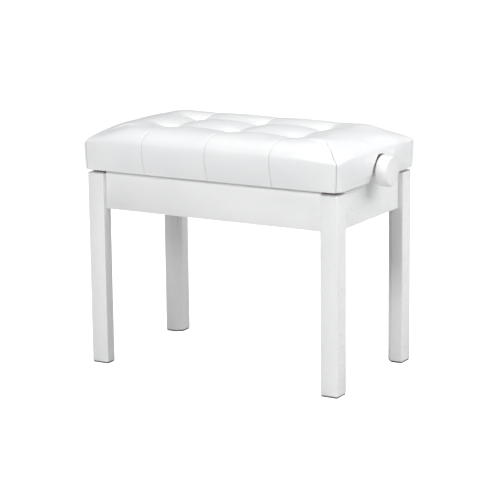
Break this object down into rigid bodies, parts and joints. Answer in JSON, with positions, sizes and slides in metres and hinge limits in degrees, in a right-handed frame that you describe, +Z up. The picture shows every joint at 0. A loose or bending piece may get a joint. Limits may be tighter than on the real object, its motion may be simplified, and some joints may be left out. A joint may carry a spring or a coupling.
{
  "type": "piano bench",
  "caption": "Height-adjustable piano bench: tufted padded seat on a four-legged frame, raised by a scissor lift that a knob on each end drives.",
  "frame": {"origin": "on the floor under the middle of the bench, seat at its lowest height", "axes": "+X along the length towards the right-hand knob, +Y to the rear, +Z up"},
  "size_m": [0.626, 0.336, 0.478],
  "materials": {
    "lacquer": "white satin lacquer on wood",
    "cover_leather": "white leatherette, soft gloss, fine grain",
    "knob_plastic": "glossy white",
    "glide": "matt",
    "timber": "plain sawn",
    "foam": "open-cell foam",
    "steel": "zinc-plated",
    "black_steel": "black, semi-matt"
  },
  "bodies": {
    "base": {"leg_front_left": "lacquer", "leg_front_right": "lacquer", "leg_rear_left": "lacquer", "leg_rear_right": "lacquer", "glide_front_left": "glide", "glide_front_right": "glide", "glide_rear_left": "glide", "glide_rear_right": "glide", "corner_brace_front_left": "timber", "corner_brace_front_right": "timber", "corner_brace_rear_left": "timber", "corner_brace_rear_right": "timber", "leg_bolt_front_left": "steel", "leg_bolt_front_right": "steel", "leg_bolt_rear_left": "steel", "leg_bolt_rear_right": "steel", "apron_front": "lacquer", "apron_rear": "lacquer", "apron_left": "lacquer", "apron_right": "lacquer", "cleat_front": "timber", "cleat_rear": "timber", "lower_rail_front": "black_steel", "lower_rail_rear": "black_steel", "bearing_plate_left": "steel", "bearing_plate_right": "steel", "lower_pivot_rod": "steel"},
    "outer_arms": {"outer_arm_front": "black_steel", "outer_arm_rear": "black_steel", "centre_rivet_front": "steel", "centre_rivet_rear": "steel", "upper_slide_pin_front": "steel", "upper_slide_pin_rear": "steel"},
    "inner_arms": {"inner_arm_front": "black_steel", "inner_arm_rear": "black_steel", "upper_pivot_pin_front": "steel", "upper_pivot_pin_rear": "steel"},
    "nut_carriage": {"crossbar": "black_steel", "lead_nut": "steel"},
    "screw": {"lead_screw": "steel", "knob_left": "knob_plastic", "knob_right": "knob_plastic", "thrust_collar_left": "steel", "thrust_collar_right": "steel"},
    "seat": {"seat_board": "timber", "skirt_front": "timber", "skirt_rear": "timber", "skirt_left": "timber", "skirt_right": "timber", "upper_rail_front": "black_steel", "upper_rail_rear": "black_steel", "foam_pad": "foam", "cover_top": "cover_leather", "cover_front": "cover_leather", "cover_rear": "cover_leather", "cover_left": "cover_leather", "cover_right": "cover_leather"}
  },
  "joints": [
    {"name": "seat_lift", "type": "slide", "parent": "base", "child": "seat", "axis": [0, 0, 1], "range_m": [0, 0.1]},
    {"name": "outer_arm_pivot", "type": "hinge", "parent": "base", "child": "outer_arms", "pos_m": [-0.15, 0, 0.392], "axis": [0, -1, 0], "range_deg": [0, 19.88]},
    {"name": "centre_pivot", "type": "hinge", "parent": "outer_arms", "child": "inner_arms", "pos_m": [-0.00056, 0, 0.405], "axis": [0, 1, 0], "range_deg": [0, 39.77]},
    {"name": "crossbar_pivot", "type": "hinge", "parent": "inner_arms", "child": "nut_carriage", "pos_m": [0.14887, 0, 0.392], "axis": [0, -1, 0], "range_deg": [0, 19.88]},
    {"name": "screw_turn", "type": "hinge", "parent": "base", "child": "screw", "pos_m": [0, 0, 0.409], "axis": [1, 0, 0], "range_deg": [0, 3195]}
  ],
  "couplings": [
    {"joint": "outer_arm_pivot", "follows": "seat_lift", "rad_per_m": 3.4667},
    {"joint": "centre_pivot", "follows": "seat_lift", "rad_per_m": 6.9334},
    {"joint": "crossbar_pivot", "follows": "seat_lift", "rad_per_m": 3.4667},
    {"joint": "screw_turn", "follows": "seat_lift", "rad_per_m": 557.4}
  ]
}
